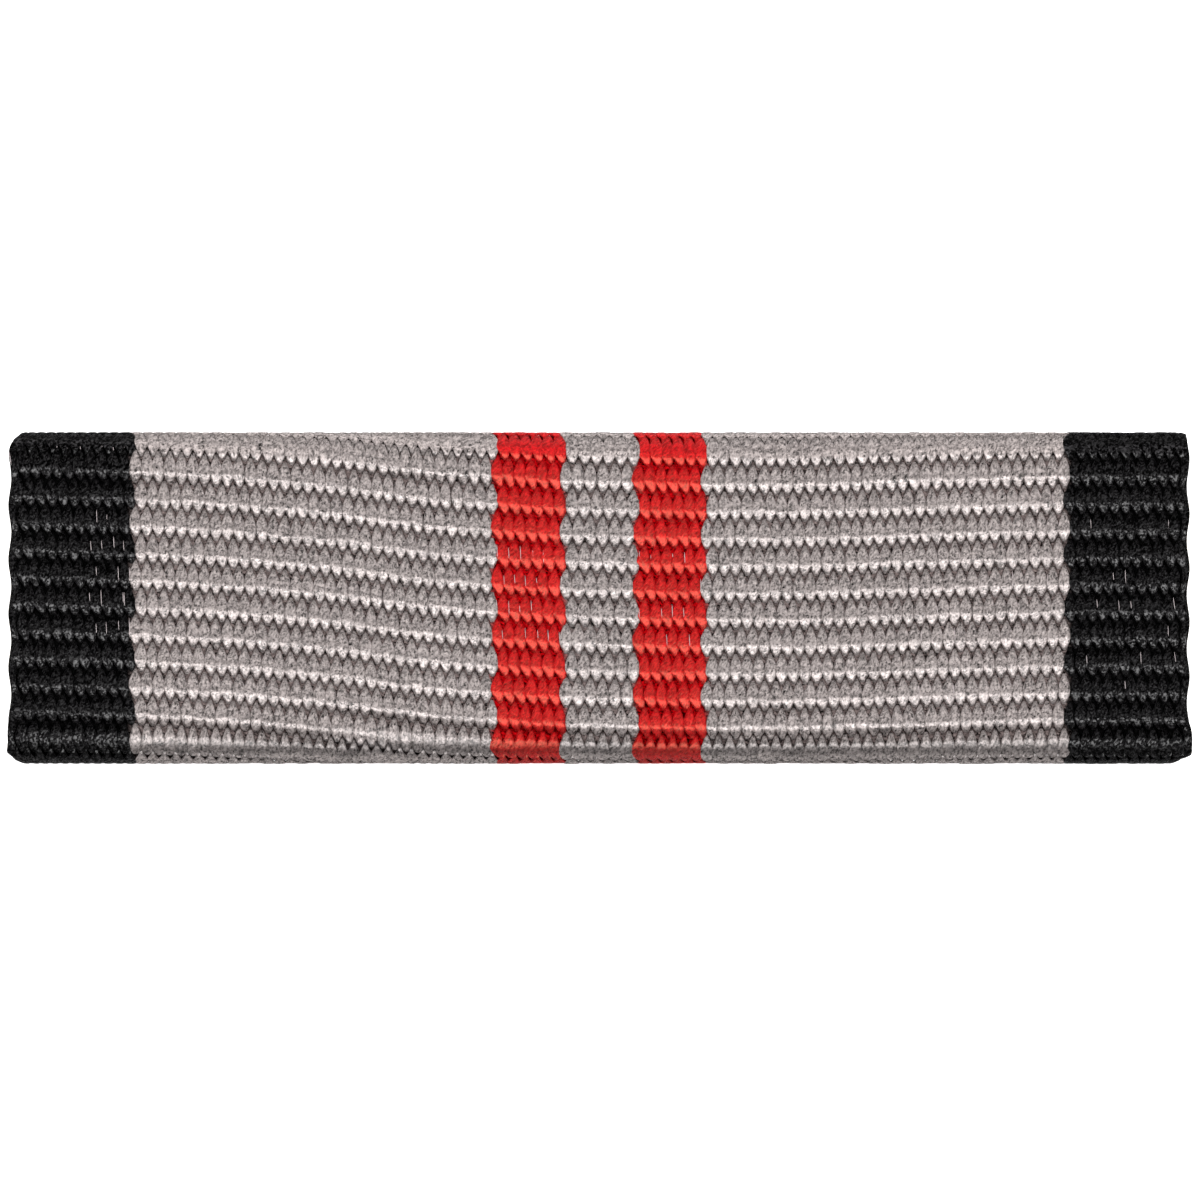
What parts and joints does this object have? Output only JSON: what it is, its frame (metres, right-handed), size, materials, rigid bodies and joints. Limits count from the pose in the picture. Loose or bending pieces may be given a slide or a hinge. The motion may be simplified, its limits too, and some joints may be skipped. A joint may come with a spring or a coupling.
{
  "type": "ribbon bar",
  "caption": "Small medal ribbon bar: a striped grosgrain ribbon wound round a folded brass slide plate, with a channel on the back that slides onto a flat rail.",
  "frame": {"origin": "under the middle of the bar, on the surface that it lies on, at the outer face of the cloth on its back", "axes": "+X along the bar to the viewer's right of its front, +Y to its upper long edge, +Z out of its front"},
  "size_m": [0.035, 0.0098, 0.0024],
  "materials": {
    "brass": "rolled sheet, bright with fine drawing lines",
    "grey_cloth": "warp-faced grosgrain of lustrous warm grey yarn, which is the ribbon's field",
    "black_cloth": "the same weave in black yarn, in a band along each selvedge",
    "red_cloth": "the same weave in red yarn, in two narrow bands with a grey one between them"
  },
  "bodies": {
    "root": {"slide_plate": "brass", "ribbon": "grey_cloth"}
  },
  "joints": []
}
